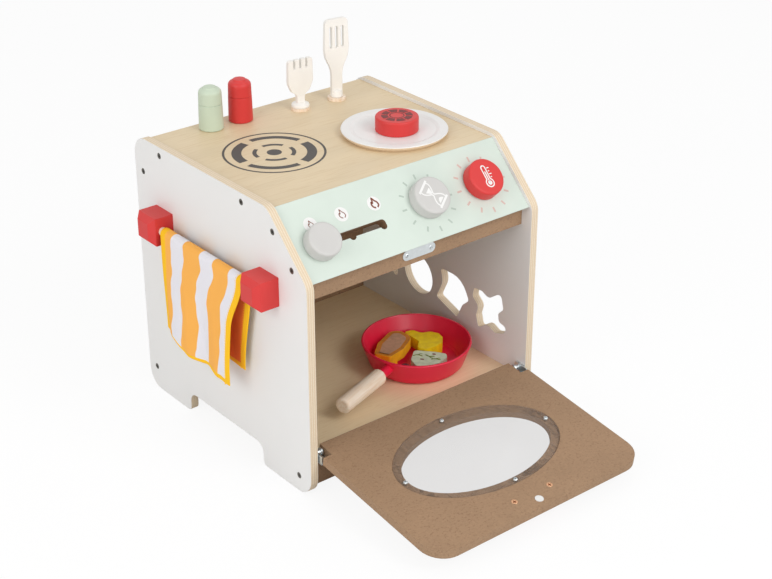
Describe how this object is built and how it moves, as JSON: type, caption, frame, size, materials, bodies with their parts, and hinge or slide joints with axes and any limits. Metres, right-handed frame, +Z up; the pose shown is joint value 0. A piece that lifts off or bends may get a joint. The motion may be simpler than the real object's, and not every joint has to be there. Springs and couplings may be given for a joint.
{
  "type": "toy oven",
  "caption": "Table-top wooden play oven with a drop-down windowed door, turning knobs, a sliding knob, a towel rail, utensils, plate and a pan with play food.",
  "frame": {"origin": "on the ground under the middle of the cabinet, at the plane of its feet", "axes": "+X to the right seen from the front, +Y from the front to the back, +Z up"},
  "size_m": [0.3276, 0.4816, 0.3885],
  "materials": {
    "white_paint": "painted white, satin",
    "wood_decor": "light wood decor, satin",
    "mint_paint": "painted mint, satin",
    "brown_board": "bare fibreboard",
    "red_paint": "painted red, satin",
    "grey_paint": "painted light grey, satin",
    "bare_wood": "clear lacquer",
    "steel": "plated",
    "clear_pane": "clear plastic",
    "magnet_cap": "matt",
    "towel_cloth": "woven cotton with printed stripes",
    "pan_red": "painted red, satin",
    "toast_orange": "painted, satin",
    "slice_yellow": "painted, satin",
    "leaf_green": "felt",
    "wedge_orange": "painted, satin",
    "purple_paint": "painted, satin"
  },
  "bodies": {
    "cabinet": {"left_side_panel": "white_paint", "right_side_panel": "white_paint", "top_panel": "wood_decor", "control_panel": "mint_paint", "back_panel": "brown_board", "oven_floor": "wood_decor", "front_rail": "brown_board", "kick_board": "brown_board", "left_side_screws": "steel", "right_side_screws": "steel", "strike_plate": "steel", "strike_screws": "steel", "front_towel_block": "red_paint", "rear_towel_block": "red_paint", "towel_rod": "bare_wood", "towel_block_screws": "steel", "fork_socket": "bare_wood", "spatula_socket": "bare_wood", "pivot_screws": "steel", "pivot_washers": "steel"},
    "door": {"door_panel": "brown_board", "door_window": "clear_pane", "window_screws": "steel", "left_hinge_bracket": "steel", "right_hinge_bracket": "steel", "bracket_screws": "steel", "door_magnet": "magnet_cap", "door_handle": "red_paint", "handle_screws": "steel"},
    "timer_dial": {"timer_knob": "grey_paint", "timer_spindle": "steel", "timer_nut": "steel"},
    "temperature_dial": {"temperature_knob": "red_paint", "temperature_spindle": "steel", "temperature_nut": "steel"},
    "slider_carrier": {"slider_retainer": "bare_wood"},
    "slider": {"slider_knob": "grey_paint", "slider_stem": "bare_wood"},
    "fork": {"fork": "white_paint"},
    "spatula": {"spatula": "white_paint"},
    "mint_shaker": {"mint_shaker": "mint_paint"},
    "red_shaker": {"red_shaker": "red_paint"},
    "plate": {"plate": "white_paint"},
    "tomato_slice": {"tomato_slice": "red_paint"},
    "towel": {"towel": "towel_cloth"},
    "pan": {"pan_bowl": "pan_red", "pan_handle": "bare_wood", "pan_stud": "steel"},
    "toast_slab": {"toast_slab": "toast_orange"},
    "wavy_slice": {"wavy_slice": "slice_yellow"},
    "leaf_slice": {"leaf_slice": "leaf_green"},
    "orange_wedge": {"orange_wedge": "wedge_orange"},
    "purple_round": {"purple_round": "purple_paint"}
  },
  "joints": [
    {"name": "door_hinge", "type": "hinge", "parent": "cabinet", "child": "door", "pos_m": [0, -0.142, 0.0453], "axis": [-1, 0, 0], "range_deg": [0, 97.31]},
    {"name": "timer_turn", "type": "hinge", "parent": "cabinet", "child": "timer_dial", "pos_m": [0.026, -0.11621, 0.26641], "axis": [0, -0.7071, 0.7071], "continuous": true},
    {"name": "temperature_turn", "type": "hinge", "parent": "cabinet", "child": "temperature_dial", "pos_m": [0.098, -0.11621, 0.26641], "axis": [0, -0.7071, 0.7071], "continuous": true},
    {"name": "slider_travel", "type": "slide", "parent": "cabinet", "child": "slider_carrier", "axis": [1, 0, 0], "range_m": [0, 0.077]},
    {"name": "slider_drop", "type": "slide", "parent": "slider_carrier", "child": "slider", "axis": [0, -0.7071, -0.7071], "range_m": [0, 0.003]},
    {"name": "fork_lift", "type": "slide", "parent": "cabinet", "child": "fork", "axis": [0, 0, 1], "range_m": [0, 0.02]},
    {"name": "spatula_lift", "type": "slide", "parent": "cabinet", "child": "spatula", "axis": [0, 0, 1], "range_m": [0, 0.02]},
    {"name": "mint_shaker_lift", "type": "slide", "parent": "cabinet", "child": "mint_shaker", "axis": [0, 0, 1], "range_m": [0, 0.05]},
    {"name": "red_shaker_lift", "type": "slide", "parent": "cabinet", "child": "red_shaker", "axis": [0, 0, 1], "range_m": [0, 0.05]},
    {"name": "plate_lift", "type": "slide", "parent": "cabinet", "child": "plate", "axis": [0, 0, 1], "range_m": [0, 0.05]},
    {"name": "tomato_lift", "type": "slide", "parent": "plate", "child": "tomato_slice", "axis": [0, 0, 1], "range_m": [0, 0.03]},
    {"name": "towel_lift", "type": "slide", "parent": "cabinet", "child": "towel", "axis": [0, 0, 1], "range_m": [0, 0.14]},
    {"name": "pan_lift", "type": "slide", "parent": "cabinet", "child": "pan", "axis": [0, 0, 1], "range_m": [0, 0.1]},
    {"name": "toast_slab_lift", "type": "slide", "parent": "orange_wedge", "child": "toast_slab", "axis": [0, 0, 1], "range_m": [0, 0.04]},
    {"name": "wavy_slice_lift", "type": "slide", "parent": "pan", "child": "wavy_slice", "axis": [0, 0, 1], "range_m": [0, 0.04]},
    {"name": "leaf_slice_lift", "type": "slide", "parent": "pan", "child": "leaf_slice", "axis": [0, 0, 1], "range_m": [0, 0.04]},
    {"name": "orange_wedge_lift", "type": "slide", "parent": "pan", "child": "orange_wedge", "axis": [0, 0, 1], "range_m": [0, 0.04]},
    {"name": "purple_round_lift", "type": "slide", "parent": "pan", "child": "purple_round", "axis": [0, 0, 1], "range_m": [0, 0.04]}
  ]
}
